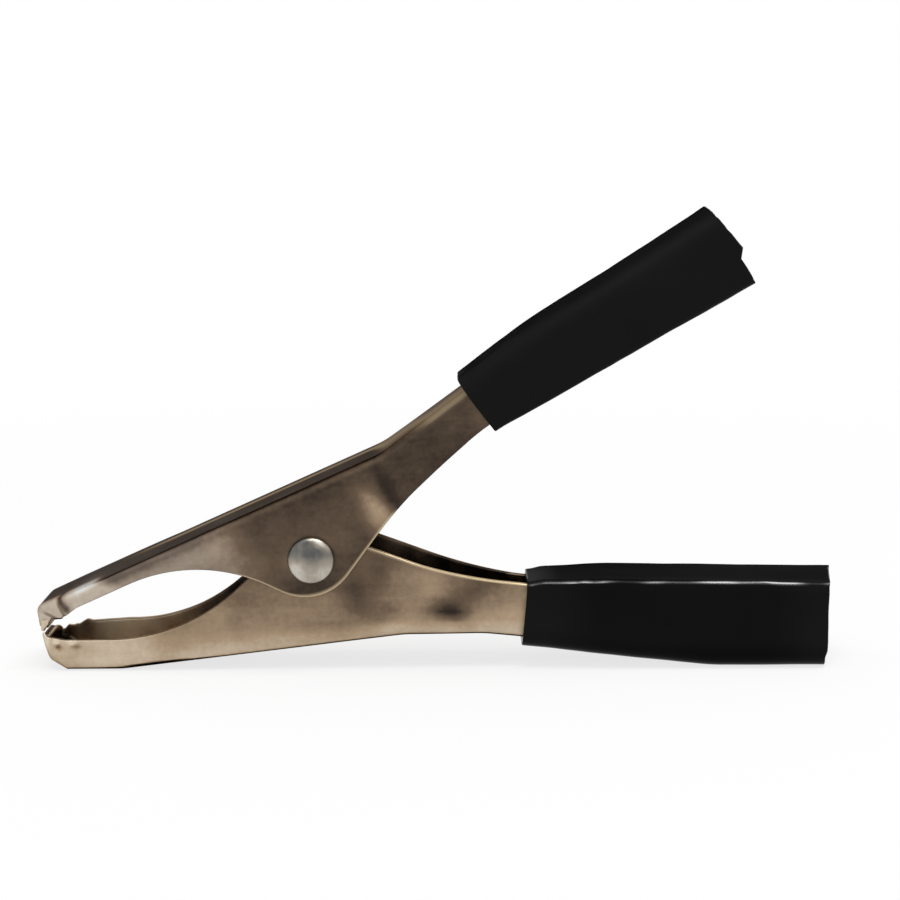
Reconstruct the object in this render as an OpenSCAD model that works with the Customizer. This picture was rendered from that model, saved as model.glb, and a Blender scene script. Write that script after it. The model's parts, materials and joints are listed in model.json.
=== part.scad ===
// Spring clip for a battery post: two pressed channel jaws turn on one rivet, a coil spring
// round the rivet holds them shut, and a soft sleeve covers each handle.
// The rivet axis is the reference for the sizes. The clip stands upright on its lower jaw.

/* [Sheet] */
// Thickness of the pressed sheet
sheet_t = 0.8; // [0.7:0.05:0.9]
// Outside radius of the bend between a web and its flanges
bend_r = 1.4; // [1.3:0.05:1.6]
// Running gap between the flanges of the two jaws, each side
flange_gap = 0.1; // [0.08:0.02:0.2]

/* [Nose] */
// Rivet axis to the front of the nose, level
nose_reach = 34.95; // [33:0.05:38]
// Depth of the bite below the rivet axis
bite_drop = 9.85; // [9.6:0.05:10.1]
// Gap left between the two lips
lip_gap = 0.3; // [0.2:0.05:0.5]
// How far the upper lip stands in front of the lower one
overbite = 0.75; // [0.5:0.05:1]
// Length of the upper nose behind its front
nose_side = 2.05; // [1.9:0.05:2.3]
// Radius of the upper nose in side view
nose_r = 1.6; // [1.5:0.1:2.2]
// Half width of the upper nose
nose_half = 3.9; // [3.7:0.1:4.1]
// Half width of the lower nose
chin_half = 4.9; // [4.7:0.1:5.1]
// Width of a claw along the jaw
claw_w = 0.9; // [0.7:0.05:1]
// Length of a claw past the bite
claw_len = 0.35; // [0.25:0.05:1.1]

/* [Lower jaw] */
// Outside width of the lower channel
lower_w = 10.7; // [10.4:0.1:11.6]
// Height of the rivet axis above the ground
pivot_h = 14.35; // [14:0.05:15]
// Rivet axis to the front of the flat foot
foot_front = 31.1; // [30.6:0.1:31.6]
// Length of the flat foot
foot_len = 7; // [5:0.1:8]
// Rivet axis down to the web at the neck
neck_drop = 10.1; // [9.8:0.1:10.6]
// Rivet axis to the start of the neck
neck_x = 11.5; // [10:0.1:13]
// Length of the neck
neck_len = 10; // [8:0.5:11]
// Rivet axis to the heel, where the handle comes down to its lowest
heel_x = 50; // [46:0.5:53]
// Depth of the throat's edge below the rivet axis
lower_edge_drop = 10.35; // [10.1:0.05:10.5]
// Rise of the flange behind the throat, degrees
throat_rise = 44.2; // [42:0.1:46]
// Radius of the throat's curve
throat_r = 24; // [20:0.5:25]
// Radius of the lower ear round the rivet
lower_ear_r = 3.75; // [3.5:0.05:4]
// Fall of the flange behind the ear, degrees
neck_fall = 20.2; // [19:0.2:22]
// Depth of the handle's edge below the rivet axis
handle_edge_drop = 4.3; // [4:0.1:4.6]
// Rivet axis to the end of the lower handle
lower_handle = 62; // [60:0.5:66]

/* [Upper jaw] */
// Slope of the upper web when the jaws are shut, degrees
upper_tilt = 24.1; // [23.5:0.1:24.6]
// Rivet axis to the outside of the upper web
upper_web = 8.42; // [8.2:0.02:8.8]
// Depth of the upper flange in front of its throat
upper_flange = 1.9; // [1.8:0.05:2.2]
// Rivet axis to the kink in the upper web
kink_u = 13.4; // [12:0.1:15]
// Turn of the upper web at the kink, degrees
kink_turn = 12.4; // [11.6:0.1:13]
// Turn of the upper handle's web behind its mouth, from the web in front of the kink, degrees
handle_turn = 10.2; // [9.6:0.1:10.8]
// Radius of the upper flange's lowest stretch round the rivet
upper_ear_r = 6.6; // [6.2:0.1:6.8]
// Rivet axis to the end of the upper handle
upper_handle = 59.5; // [57:0.5:63]

/* [Rivet and spring] */
// Diameter of the rivet's shank
rivet_d = 4; // [3.6:0.1:4.2]
// Diameter of the rivet's heads
rivet_head_d = 5.8; // [5.4:0.1:6.2]
// Thickness of the rivet's heads
rivet_head_t = 0.95; // [0.8:0.05:1.2]
// Radial clearance of the rivet in the jaws
rivet_fit = 0.05; // [0.03:0.01:0.08]
// Wire diameter of the spring
wire_d = 1.5; // [1.3:0.05:1.6]
// Full turns of the spring's coil, beside the part turn between its legs
coil_turns = 4; // [3:1:4]
// Gap between the coil and the rivet
coil_gap = 0.35; // [0.25:0.05:0.5]
// Rivet axis to where the spring's legs press on the webs
leg_reach = 16; // [15:0.5:18]

/* [Sleeves] */
// Wall of the sleeves
sleeve_t = 0.95; // [0.8:0.05:1.1]
// Gap between a sleeve and its handle
sleeve_gap = 0.12; // [0.1:0.01:0.15]
// Rivet axis to the mouth of the lower sleeve
lower_mouth = 26.6; // [26:0.1:28]
// Rivet axis to the mouth of the upper sleeve
upper_mouth = 26; // [25.5:0.1:27.5]
// How far a sleeve reaches past the end of its handle
sleeve_over = 3.6; // [2.6:0.1:5]
// How far the lower sleeve bulges over its handle's edges
lower_bulge = 0.5; // [0.2:0.05:0.6]
// How far the upper sleeve stands off the web at its mouth
mouth_slack = 0.55; // [0.3:0.05:0.8]
// Slant of the lower sleeve's end, which is cut longer at its far side, degrees
lower_slant = 10; // [0:1:12]
// Slant of the upper sleeve's end, degrees
upper_slant = 4; // [0:1:12]

/* [Cable end] */
// Inside radius of the crimp barrel
barrel_r = 3.2; // [2.8:0.1:3.2]
// Length of the crimp barrel
barrel_len = 5.2; // [4:0.1:6]
// Height of the barrel's ears above its axis
barrel_ear = 2.6; // [2:0.1:3]
// Rivet axis to the cable screw
screw_x = 44; // [40:0.5:48]
// Thread diameter of the cable screw
screw_d = 3; // [2.5:0.1:3.2]
// Diameter of the screw's head
screw_head_d = 5.6; // [5:0.1:6]
// Height of the screw's head
screw_head_h = 2; // [1.6:0.1:2.4]
// Height of the drawn collar that holds the thread
collar_h = 1.2; // [1:0.1:1.6]

/* [Hidden] */

$fn = 48;
bend_steps = 4;
path_steps = 6;
nose_steps = 7;
wire_sides = 8;
wire_step = 20;
// Stations nearer than this along a channel are merged
closest = 0.2;
// Cuts, and the paths of a channel, run this far past what they serve
past = 1;
// Clearance of one still piece beside another
clear = 0.05;

lower_half = lower_w / 2;
upper_half = lower_half + flange_gap + sheet_t;
sleeve_end = lower_handle + sleeve_over;
upper_sleeve_end = upper_handle + sleeve_over;
shank_hole_r = rivet_d / 2 + rivet_fit;

// Half widths of a handle: between its edges at the neck and at the grip, and at the grip's web
neck_half = 2.95;
grip_edge_half = 4.4;
grip_draw = 0.15;
grip_web_half = lower_half - grip_draw;
// A handle's edges spread from the neck to the grip over this length
grip_flare = 10;
// A handle takes its grip's form this far inside its sleeve
grip_set = 1;
// The clip stands over the middle of its length, up to the far end of the lower sleeve
sleeve_half = grip_web_half + sleeve_gap + sleeve_t;
origin_x = (sleeve_end + sleeve_half * tan(lower_slant) - nose_reach) / 2;
// Least inside radius of a bend in the sheet
least_bend = 0.2;

steel = [0.62, 0.57, 0.5];
bright = [0.78, 0.78, 0.76];
vinyl = [0.07, 0.07, 0.07];

// Plane helpers
function mix(a, b, k) = a + (b - a) * k;
function unit(v) = v / norm(v);
function turned(p, a) = [p.x * cos(a) - p.y * sin(a), p.x * sin(a) + p.y * cos(a)];
function mirrored(points) = [for (p = points) [-p.x, p.y]];
function reversed(list) = [for (i = [len(list) - 1:-1:0]) list[i]];
function at(u, path) = lookup(u, [for (p = path) [p.x, p.y]]);

// The arc that rounds corner b between a and c with radius r, as n + 1 points
function corner(a, b, c, r, n) =
    let (
        to_a = unit(a - b),
        to_c = unit(c - b),
        half = acos(max(-1, min(1, to_a * to_c))) / 2,
        reach = r / tan(half),
        centre = b + unit(to_a + to_c) * (r / sin(half)),
        from = b + to_a * reach - centre,
        way = sign(to_a.x * to_c.y - to_a.y * to_c.x),
        sweep = -way * (180 - 2 * half)
    )
    [for (i = [0:n]) centre + turned(from, sweep * i / n)];

// A path of [x, y, corner radius] points with its corners rounded
function rounded(path, n = path_steps) =
    let (flat = [for (p = path) [p.x, p.y]])
    [for (i = [0:len(path) - 1])
        each (i == 0 || i == len(path) - 1 || path[i][2] == 0)
            ? [flat[i]]
            : corner(flat[i - 1], flat[i], flat[i + 1], path[i][2], n)];

function sorted(v) =
    len(v) < 2 ? v
    : let (m = v[floor(len(v) / 2)])
      concat(sorted([for (x = v) if (x < m) x]), [m], sorted([for (x = v) if (x > m) x]));

// The stations along a channel: every bend of its paths between two ends
function stations(from, to, paths) =
    let (
        all = sorted([for (path = paths) for (p = path) if (p.x > from && p.x < to) p.x]),
        kept = [for (i = [0:len(all) - 1])
            if ((i == 0 ? all[i] - from : all[i] - all[i - 1]) > closest && to - all[i] > closest) all[i]]
    )
    concat([from], kept, [to]);

// Sections run from web point to edge point in side view: [web, edge, half width at the web,
// half width at the edge, bend radius]. Each is drawn in the plane through both points and Y.
function placed(section, points) =
    let (down = unit(section[1] - section[0]))
    [for (p = points) let (q = section[0] + down * p.y) [q.x, p.x, q.y]];

function channel_half(section, inset) =
    let (
        h = norm(section[1] - section[0]),
        lean = (section[3] - section[2]) / h,
        wall = inset * sqrt(1 + lean * lean),
        low = section[2] + lean * inset - wall,
        r = max(section[4] - inset, least_bend)
    )
    concat(corner([0, inset], [low, inset], [section[3] - wall, h], min(r, (h - inset) / 2), bend_steps),
           [[section[3] - wall, h]]);

function channel_ring(section) =
    let (outer = channel_half(section, 0), inner = channel_half(section, sheet_t))
    placed(section, concat(reversed(outer), mirrored(outer), reversed(mirrored(inner)), inner));

// The closed ring of a sleeve that stands off a section by gap, by slack more at the web and by
// lift more at the edges
function sleeve_ring(section, gap, slack, lift) =
    let (
        h = norm(section[1] - section[0]),
        lean = (section[3] - section[2]) / h,
        wall = gap * sqrt(1 + lean * lean),
        web = [section[2] + wall - lean * (gap + slack), -gap - slack],
        edge = [section[3] + wall + lean * (gap + lift), h + gap + lift],
        half = concat(corner([0, web.y], web, edge, section[4] + gap, bend_steps),
                      corner(web, edge, [0, edge.y], gap, bend_steps))
    )
    placed(section, concat(half, reversed(mirrored(half))));

// A solid skin over rings with equal point counts, closed in a loop or with a strip over each end
// that runs between the two halves of its ring
module skin(rings, loop = false) {
    m = len(rings[0]);
    n = len(rings);
    sides = [for (i = [0:n - (loop ? 1 : 2)]) for (j = [0:m - 1])
        let (next = (i + 1) % n, k = (j + 1) % m)
        [i * m + j, i * m + k, next * m + k, next * m + j]];
    strip = [for (j = [0:m / 2 - 2]) [j, j + 1, m - 2 - j, m - 1 - j]];
    ends = loop ? []
        : concat([for (f = strip) reversed(f)], [for (f = strip) [for (j = f) (n - 1) * m + j]]);
    polyhedron(points = [for (ring = rings) each ring], faces = concat(sides, ends), convexity = 8);
}

// Moves the rivet axis from its own reference to its place in the clip
module in_clip() {
    translate([-origin_x, 0, pivot_h]) children();
}

module across_y(r, length) {
    rotate([90, 0, 0]) cylinder(r = r, h = length, center = true);
}

// Lower jaw in side view, with the radii of its bends
foot_bend = 12;
neck_bend = 16;
heel_bend = 30;
handle_bend = 60;
chin_bend = 1.2;
chin_set = 0.75;
chin_h = 1.4;
lip = [-(nose_reach - overbite), -(bite_drop + lip_gap)];
chin = [lip.x + chin_set, chin_h - pivot_h];
ground_clear = sleeve_t + sleeve_gap;
lower_web_path = rounded([
    [-foot_front, -pivot_h, 0],
    [foot_len - foot_front, -pivot_h, foot_bend],
    [neck_x, -neck_drop, neck_bend],
    [neck_x + neck_len, -neck_drop, neck_bend],
    [heel_x, ground_clear - pivot_h, heel_bend],
    [sleeve_end + past, ground_clear - pivot_h, 0]
], path_steps / 2);
throat_top = lower_ear_r / cos(throat_rise);
neck_top = lower_ear_r / cos(neck_fall);
ear_x = (neck_top - throat_top) / (tan(throat_rise) + tan(neck_fall));
lower_edge_path = rounded([
    [-foot_front, -lower_edge_drop, 0],
    [-(lower_edge_drop + throat_top) / tan(throat_rise), -lower_edge_drop, throat_r],
    [ear_x, throat_top + ear_x * tan(throat_rise), lower_ear_r],
    [(handle_edge_drop + neck_top) / tan(neck_fall), -handle_edge_drop, handle_bend],
    [sleeve_end + past, -handle_edge_drop, 0]
]);
neck_pinch = 2;
lower_web_half = [[-foot_front, lower_half], [neck_x, lower_half], [lower_mouth + grip_set, grip_web_half]];
lower_edge_half = [[-foot_front, lower_half], [neck_x + neck_pinch, lower_half],
    [lower_mouth - grip_set, neck_half], [lower_mouth, neck_half],
    [lower_mouth + grip_flare, grip_edge_half]];

function lower_section(x) = [
    [x, at(x, lower_web_path)], [x, at(x, lower_edge_path)],
    at(x, lower_web_half), at(x, lower_edge_half), bend_r];

function lower_stations(from, to) =
    stations(from, to, [lower_web_path, lower_edge_path, lower_web_half, lower_edge_half]);

// The lower nose fans from its lip round the chin to the foot. Its front is a little narrower
// than its edges, with a wider bend.
lip_trim = 0.3;
front_draw = 0.5;
front_bend = 1.9;
chin_path = rounded([
    [lip.x, lip.y, 0],
    [chin.x, chin.y, chin_bend],
    [-foot_front, -pivot_h, 0]
], bend_steps);
chin_edge = [[lip.x + nose_side - lip_trim, lip.y], [-foot_front, -lower_edge_drop]];
lower_nose = [for (i = [0:len(chin_path) - 2])
    let (k = i / (len(chin_path) - 1))
    [chin_path[i], mix(chin_edge[0], chin_edge[1], k),
        mix(chin_half - front_draw, lower_half, k), mix(chin_half, lower_half, k),
        mix(front_bend, bend_r, k)]];

// The bite is a notch across the lower lip that the upper claw drops into
claw_clear = 0.2;
claw_lean = 0.5;
claw_root = 0.6;

module bite_notch() {
    low = bite_drop + claw_len + claw_clear;
    half = nose_half + claw_clear;
    back = nose_side - nose_reach + claw_clear;
    translate([lip.x - past, -half, -low]) cube([back - lip.x + past, 2 * half, low]);
}

// One tooth stands on each edge behind the bite
tooth_set = 0.9;
tooth_half = 1.1;
tooth_top = 0.3;
tooth_h = 0.3;

module lower_teeth() {
    root = sheet_t / 2;
    outline = [[tooth_half, 0], [tooth_top, tooth_h], [-tooth_top, tooth_h], [-tooth_half, 0],
        [-tooth_half, -root], [tooth_half, -root]];
    for (side = [-1, 1])
        translate([tooth_set - foot_front, side * (lower_half - sheet_t / 2), -lower_edge_drop])
            rotate([90, 0, 0]) linear_extrude(sheet_t, center = true) polygon(outline);
}

barrel_start = lower_handle - barrel_len;
neck_gap = 0.8;
channel_end = barrel_start - neck_gap;
web_z = ground_clear - pivot_h;
barrel_z = web_z + sheet_t + barrel_r;

// Open barrel for the cable, with its ears standing as before crimping
module crimp_barrel() {
    outer_r = barrel_r + sheet_t;
    strip_half = barrel_r - sheet_t;
    translate([channel_end - past, -strip_half, web_z])
        cube([neck_gap + 2 * past, 2 * strip_half, sheet_t]);
    translate([barrel_start, 0, barrel_z]) difference() {
        union() {
            rotate([0, 90, 0]) cylinder(r = outer_r, h = barrel_len);
            translate([0, -outer_r, 0]) cube([barrel_len, 2 * outer_r, barrel_ear]);
        }
        translate([-past, 0, 0]) rotate([0, 90, 0]) cylinder(r = barrel_r, h = barrel_len + 2 * past);
        translate([-past, -barrel_r, 0]) cube([barrel_len + 2 * past, 2 * barrel_r, outer_r + barrel_ear]);
    }
}

module thread_collar() {
    web = at(screw_x, lower_web_path);
    translate([screw_x, 0, web + sheet_t / 2])
        cylinder(r = screw_d / 2 + sheet_t, h = sheet_t / 2 + collar_h);
}

module lower_jaw() {
    color(steel) in_clip() difference() {
        union() {
            skin([for (s = concat(lower_nose, [for (x = lower_stations(-foot_front, channel_end))
                lower_section(x)])) channel_ring(s)]);
            lower_teeth();
            crimp_barrel();
            thread_collar();
        }
        across_y(shank_hole_r, 2 * upper_half);
        bite_notch();
        translate([screw_x, 0, -pivot_h]) cylinder(r = screw_d / 2 + clear, h = pivot_h);
    }
}

// Upper jaw in side view, in its own frame: u along the web, v away from the rivet
bite_top = bite_drop - lip_gap / 2;
// The lip's front lies this far behind the nose's
lip_in = 0.3;
lip_up = turned([lip_in - nose_reach, -bite_top], -upper_tilt);
level = turned([1, 0], -upper_tilt);
upright = turned([0, 1], -upper_tilt);
nose_v = upper_web - nose_r;
nose_centre = [((nose_r - nose_reach) + nose_v * sin(upper_tilt)) / cos(upper_tilt), nose_v];
nose_root = 1.8;
upper_edge = upper_web - upper_flange;
upper_start = nose_centre.x + nose_root;

// The corners of its edge in front of the ear, under the rivet, behind the ear and at the neck,
// with the radii that round them
ear_front = [-12.4, upper_edge];
ear_tip = [-1.5, -6.5];
ear_back = [12.45, 1.5];
neck_edge = [26.5, 5.9];
ear_front_bend = 20.5;
ear_back_bend = 32;
neck_edge_bend = 30;
kink_bend = 12;
handle_rise = 0.1;
arm_end = upper_mouth + grip_set;
arm_end_bend = 60;
arm_v = upper_web + (arm_end - kink_u) * tan(kink_turn);
web_end = upper_sleeve_end + past;
edge_end = web_end + 2 * upper_web * tan(kink_turn);
upper_web_path = rounded([
    [upper_start, upper_web, 0],
    [kink_u, upper_web, kink_bend],
    [arm_end, arm_v, arm_end_bend],
    [web_end, arm_v + (web_end - arm_end) * tan(handle_turn), 0]
], bend_steps);
upper_edge_path = rounded([
    [upper_start, upper_edge, 0],
    [ear_front.x, ear_front.y, ear_front_bend],
    [ear_tip.x, ear_tip.y, upper_ear_r],
    [ear_back.x, ear_back.y, ear_back_bend],
    [neck_edge.x, neck_edge.y, neck_edge_bend],
    [edge_end, neck_edge.y + (edge_end - neck_edge.x) * handle_rise, 0]
]);

// Its edges close in from the ear to the neck, and its sections turn square to the arm over the
// kink and a little back from there to the handle's end
ear_end = 11.5;
arm_u = 18;
arm_half = 3.7;
arm_more = 0.3;
square_ease = 5;
end_turn = 6.5;
upper_web_half = [[upper_start, upper_half], [kink_u, upper_half], [upper_mouth, lower_half + arm_more]];
upper_edge_half = [[upper_start, upper_half], [ear_end, upper_half], [arm_u, arm_half],
    [upper_mouth, neck_half + arm_more], [upper_mouth + grip_flare, grip_edge_half]];
upper_square = [[kink_u - square_ease, 0], [kink_u + square_ease, kink_turn], [web_end, end_turn]];

function upper_section(u) =
    let (
        depth = at(u, upper_web_path) - at(u, upper_edge_path),
        edge_u = u + depth * tan(at(u, upper_square))
    )
    [[u, at(u, upper_web_path)], [edge_u, at(edge_u, upper_edge_path)],
        at(u, upper_web_half), at(u, upper_edge_half), bend_r];

function upper_stations(from, to) =
    stations(from, to, [upper_web_path, upper_edge_path, upper_web_half, upper_edge_half]);

// The upper nose fans from its lip round the nose to the web, with a short upright side first
nose_draw = 0.4;
nose_bend = 2;
nose_upright = 1.3;
side_low = lip_up + level * nose_side;
side_high = side_low + upright * nose_upright;
upper_nose = concat(
    [[lip_up, side_low, nose_half - nose_draw, nose_half, nose_bend]],
    [for (i = [0:nose_steps])
        let (k = i / (nose_steps + 1), a = mix(180 - upper_tilt, 90, i / nose_steps))
        [nose_centre + nose_r * [cos(a), sin(a)], mix(side_high, [upper_start, upper_edge], k),
            mix(nose_half - nose_draw, upper_half, k), mix(nose_half, upper_half, k),
            mix(nose_bend, bend_r, k)]]);

// A claw bent from the near side of the upper lip
module claw() {
    wall = nose_half - sheet_t;
    tip = -bite_drop - claw_len;
    outline = [[wall, claw_root - bite_top], [nose_half, claw_root - bite_top], [nose_half, -bite_top],
        [nose_half - claw_lean, tip], [wall - claw_lean, tip], [wall, -bite_top]];
    mirror([0, 1, 0]) translate([nose_side - nose_reach - claw_w, 0, 0])
        rotate([90, 0, 90]) linear_extrude(claw_w) polygon(outline);
}

module upper_jaw() {
    color(steel) in_clip() difference() {
        union() {
            rotate([0, -upper_tilt, 0])
                skin([for (s = concat(upper_nose, [for (u = upper_stations(upper_start, upper_handle))
                    upper_section(u)])) reversed(channel_ring(s))]);
            claw();
        }
        across_y(shank_hole_r, 3 * upper_half);
    }
}

// Rivet with a flat bevelled head at each side
head_bevel = 0.4;

module pivot_rivet() {
    inner = upper_half + clear;
    outer = inner + rivet_head_t;
    head_r = rivet_head_d / 2;
    half = [[0, outer], [head_r - head_bevel, outer], [head_r, outer - head_bevel], [head_r, inner],
        [rivet_d / 2, inner]];
    color(bright) in_clip() rotate([90, 0, 0]) rotate_extrude()
        polygon(concat(half, [for (p = reversed(half)) [p.x, -p.y]]));
}

// Spring: a coil round the rivet with a straight leg along each web
coil_r = rivet_d / 2 + coil_gap + wire_d / 2;
coil_space = 0.1;
leg_in = sheet_t + wire_d / 2 + clear;
upper_leg = turned([leg_reach, at(leg_reach, upper_web_path) - leg_in / cos(kink_turn)], upper_tilt);
lower_leg = [leg_reach, at(leg_reach, lower_web_path) + leg_in];
function heading(p) = atan2(p.y, p.x);
upper_touch = heading(upper_leg) + acos(coil_r / norm(upper_leg));
lower_touch = heading(lower_leg) - acos(coil_r / norm(lower_leg));
coil_sweep = 360 * coil_turns + 360 - (upper_touch - lower_touch);
coil_pitch = wire_d + coil_space;
coil_steps = ceil(coil_sweep / wire_step);

function wire_ring(a, y, along) =
    [for (j = [wire_sides - 1:-1:0])
        let (b = 360 * j / wire_sides, r = coil_r + wire_d / 2 * cos(b))
        [r * cos(a) - along * sin(a), y + wire_d / 2 * sin(b), r * sin(a) + along * cos(a)]];

module torsion_spring() {
    half = coil_pitch * coil_sweep / 720;
    upper_len = sqrt(pow(norm(upper_leg), 2) - coil_r * coil_r);
    lower_len = sqrt(pow(norm(lower_leg), 2) - coil_r * coil_r);
    rings = concat(
        [wire_ring(upper_touch, -half, -upper_len)],
        [for (i = [0:coil_steps])
            let (k = i / coil_steps) wire_ring(upper_touch + coil_sweep * k, mix(-half, half, k), 0)],
        [wire_ring(lower_touch, half, lower_len)]);
    color(bright) in_clip() skin(rings);
}

// The lower sleeve bulges most this far behind its mouth
lower_bulge_set = 9;

// A sleeve is one wall drawn over the sections of the handle inside it, each as wide to both sides.
// Its last ring is slanted, so that the end is longer at its far side.
module sleeve(sections, slacks, lifts, slant) {
    last = len(sections) - 1;
    along = unit(sections[last][0] - sections[last - 1][0]);
    function wall(gap) = [for (i = [0:last])
        let (ring = sleeve_ring(sections[i], gap, slacks[i], lifts[i]))
        i < last ? ring : [for (p = ring) p + p.y * tan(slant) * [along.x, 0, along.y]]];
    skin(concat(wall(sleeve_gap + sleeve_t), reversed(wall(sleeve_gap))), loop = true);
}

module lower_sleeve() {
    lift = [[lower_mouth, 0], [lower_mouth + lower_bulge_set, lower_bulge], [sleeve_end, 0]];
    xs = lower_stations(lower_mouth, sleeve_end);
    color(vinyl) in_clip() mirror([0, 1, 0])
        sleeve([for (x = xs) lower_section(x)], [for (x = xs) 0], [for (x = xs) at(x, lift)],
            -lower_slant);
}

// The upper sleeve bulges a little behind its mouth and lies on the web at its end
upper_bulge_set = 11;
upper_bulge = 0.4;

module upper_sleeve() {
    slack = [[upper_mouth, mouth_slack], [upper_mouth + upper_bulge_set, mouth_slack + upper_bulge],
        [upper_sleeve_end, 0]];
    flared = upper_mouth + grip_flare;
    us = concat(upper_stations(upper_mouth, flared),
        [for (i = [1:path_steps]) mix(flared, upper_sleeve_end, i / path_steps)]);
    color(vinyl) in_clip() rotate([0, -upper_tilt, 0])
        sleeve([for (u = us) upper_section(u)], [for (u = us) at(u, slack)], [for (u = us) 0],
            upper_slant);
}

// Pan head screw in the drawn collar, with a crossed recess. It ends inside the web.
screw_set = 0.3;
screw_bevel = 0.2;
pan_r = 1;
slot_w = 0.9;
slot_len = 3.4;

module cable_screw() {
    seat = sheet_t + collar_h + clear - screw_set;
    head_r = screw_head_d / 2;
    head_z = seat + screw_head_h;
    color(bright) in_clip() translate([screw_x, 0, at(screw_x, lower_web_path) + screw_set]) difference() {
        rotate_extrude() polygon(concat(
            [[0, 0], [screw_d / 2 - screw_bevel, 0], [screw_d / 2, screw_bevel], [screw_d / 2, seat],
                [head_r, seat]],
            corner([head_r, seat], [head_r, head_z], [0, head_z], pan_r, bend_steps),
            [[0, head_z]]));
        for (a = [0, 90])
            rotate(a) translate([-slot_len / 2, -slot_w / 2, head_z - screw_head_h / 2])
                cube([slot_len, slot_w, screw_head_h]);
    }
}

lower_jaw();
upper_jaw();
pivot_rivet();
torsion_spring();
lower_sleeve();
upper_sleeve();
cable_screw();
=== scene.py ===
# Looks of the battery clip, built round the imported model.
# Lengths are in millimetres from the rivet's axis, unless a comment says otherwise.
import json
import math
from bisect import bisect_right
from collections import namedtuple

import bmesh
import bpy
from mathutils import Matrix, Vector, noise


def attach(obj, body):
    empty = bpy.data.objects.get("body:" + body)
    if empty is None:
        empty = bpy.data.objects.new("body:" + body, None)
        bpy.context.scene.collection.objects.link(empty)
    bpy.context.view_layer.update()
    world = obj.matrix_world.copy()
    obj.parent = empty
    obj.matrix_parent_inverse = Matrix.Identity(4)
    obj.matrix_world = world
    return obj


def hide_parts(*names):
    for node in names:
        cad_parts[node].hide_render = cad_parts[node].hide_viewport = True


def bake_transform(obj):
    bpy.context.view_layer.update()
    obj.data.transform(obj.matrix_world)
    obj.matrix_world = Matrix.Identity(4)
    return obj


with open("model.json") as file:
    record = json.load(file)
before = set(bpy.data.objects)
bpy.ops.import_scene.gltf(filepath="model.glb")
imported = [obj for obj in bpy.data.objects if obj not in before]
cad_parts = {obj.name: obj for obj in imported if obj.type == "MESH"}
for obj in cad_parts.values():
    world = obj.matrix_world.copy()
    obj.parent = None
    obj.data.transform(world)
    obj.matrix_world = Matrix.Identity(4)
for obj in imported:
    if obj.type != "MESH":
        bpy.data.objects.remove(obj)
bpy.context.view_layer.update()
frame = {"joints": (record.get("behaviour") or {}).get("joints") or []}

MM = 0.001
PIVOT = Vector(frame["joints"][0]["pos_m"]) / MM

# Sheet and its bends
SHEET = 0.8
BEND = 1.4
EDGE_R = 0.2
FLANGE_GAP = 0.1
LOWER_HALF = 5.35
UPPER_HALF = LOWER_HALF + FLANGE_GAP + SHEET
NECK_HALF = 2.95
GRIP_EDGE_HALF = 4.4
GRIP_WEB_HALF = LOWER_HALF - 0.15
GRIP_FLARE = 10

# Nose and bite
NOSE_REACH = 34.95
BITE_DROP = 9.85
LIP_GAP = 0.3
LIP_IN = 0.3
LIP_TRIM = 0.3
OVERBITE = 0.75
NOSE_SIDE = 1.65
NOSE_UPRIGHT = 1.75
NOSE_DEEP = 0.65
DEEP_LEN = 2.6
NOSE_R = 1.2
NOSE_HALF = 3.9
NOSE_DRAW = 0.4
NOSE_BEND = 1.9
NOSE_PINCH = 1.6
PINCH_LEN = 1.4
CHIN_HALF = 4.9
CHIN_DRAW = 0.5

# Corners of the lips: the lower lip's rise, with more at its near corner, and its far corner's fall
LIP_RISE = 0.25
NEAR_RISE = 0.3
FAR_FALL = 0.8

# The slanted cut of the upper lip's near corner, and how far the claw's tip stays above the bite
CUT_START = -34.1
CUT_LEN = 1.05
CUT_LOW = 0.6
CUT_RISE = 1.0
CLAW_SHORT = 0.25

# Side view of the lower jaw
PIVOT_H = PIVOT.z
FOOT_FRONT = 31.1
FOOT_LEN = 7
NECK_DROP = 10.1
NECK_X = 11.5
NECK_LEN = 10
HEEL_X = 50
EDGE_DROP = 10.35
THROAT_RISE = math.radians(44.2)
THROAT_R = 24
LOWER_EAR_R = 3.75
NECK_FALL = math.radians(20.2)
HANDLE_EDGE_DROP = 4.3
LOWER_HANDLE = 62

# Side view of the upper jaw, in its own frame: u along its web, v away from the rivet
TILT = math.radians(24.1)
UPPER_WEB = 8.42
UPPER_FLANGE = 1.9
KINK_U = 13.4
KINK_TURN = math.radians(12.4)
HANDLE_TURN = math.radians(10.2)
UPPER_EAR_R = 6.6
UPPER_HANDLE = 59.5

# Sleeves
SLEEVE = 0.95
SLEEVE_GAP = 0.12
LOWER_MOUTH = 26.6
UPPER_MOUTH = 26
SLEEVE_OVER = 3.6
LOWER_SHOULDER = 1.9
UPPER_SHOULDER = SLEEVE + SLEEVE_GAP
LOWER_BULGE = 0.55
LOWER_SLANT = math.tan(math.radians(10))
MOUTH_SLACK = 0.55
UPPER_BULGE = 0.4
UPPER_SLANT = math.tan(math.radians(4))
SLANT_LEN = 6
LOWER_SLEEVE_END = LOWER_HANDLE + SLEEVE_OVER
UPPER_SLEEVE_END = UPPER_HANDLE + SLEEVE_OVER

# Rivet, spring and cable end
RIVET_R = 2
RIVET_HEAD_R = 2.9
RIVET_HEAD_T = 0.95
RIVET_FIT = 0.05
WIRE_R = 0.75
COIL_R = RIVET_R + 0.35 + WIRE_R
COIL_TURNS = 4
COIL_PITCH = 1.6
LEG_REACH = 16
CLEAR = 0.05
BARREL_R = 3.2
BARREL_LEN = 5.2
BARREL_EAR = 2.6
SCREW_X = 44
SCREW_R = 1.5
SCREW_HEAD_R = 2.8
SCREW_HEAD_H = 2
COLLAR_H = 1.2

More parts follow.
